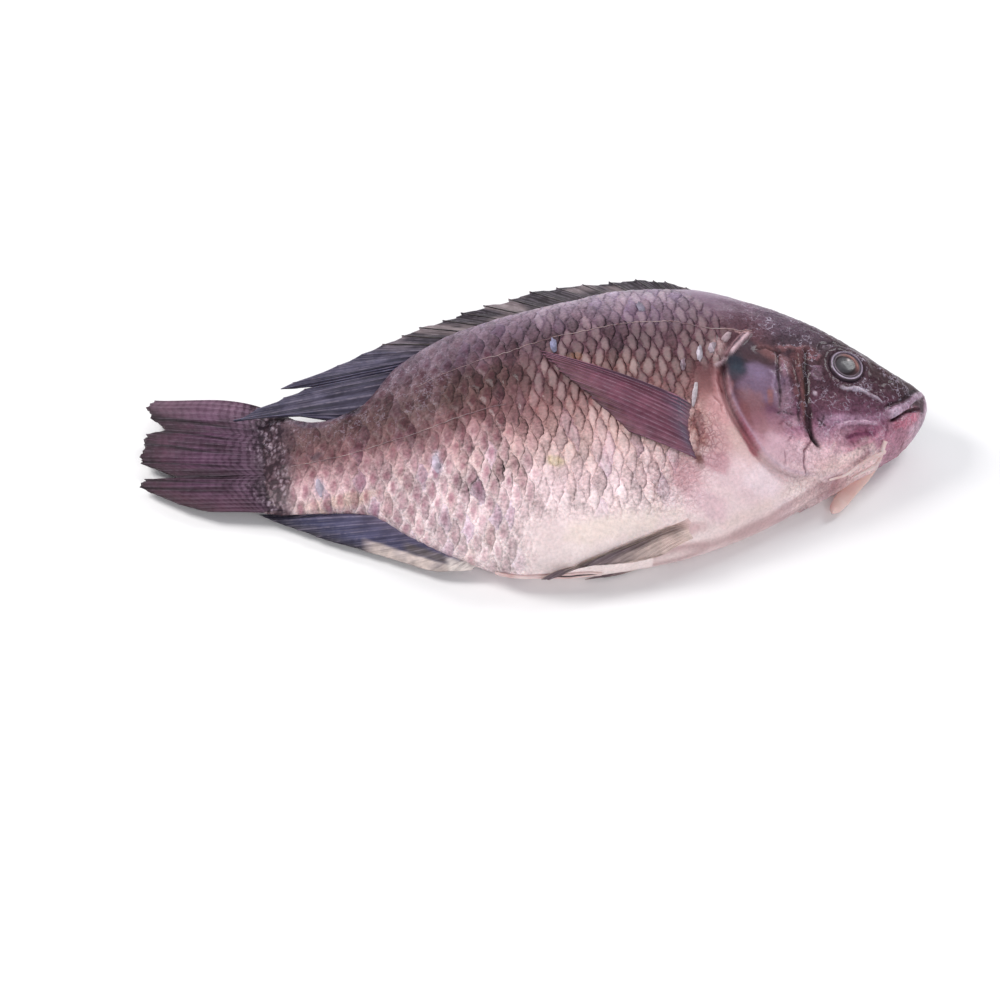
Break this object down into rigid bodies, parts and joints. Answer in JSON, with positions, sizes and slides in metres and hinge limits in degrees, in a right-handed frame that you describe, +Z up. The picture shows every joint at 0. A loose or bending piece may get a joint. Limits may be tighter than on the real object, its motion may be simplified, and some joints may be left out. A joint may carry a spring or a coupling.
{
  "type": "whole raw fish",
  "caption": "Deep-bodied whole raw freshwater fish, scaled and gutted, lying flat on its left side with folded back fin, closed tail and swept-back breast fin.",
  "frame": {"origin": "centre of the bounding box at the surface that the fish lies on", "axes": "+X from the tail to the snout, +Y from the belly to the back fin, +Z up, out of the right flank"},
  "size_m": [0.3074, 0.1372, 0.0455],
  "materials": {
    "fish_skin": "wet bare skin with scale pockets, dark violet brown on the back and pinkish cream on the belly, satin gloss"
  },
  "bodies": {
    "root": {"fish": "fish_skin"}
  },
  "joints": []
}
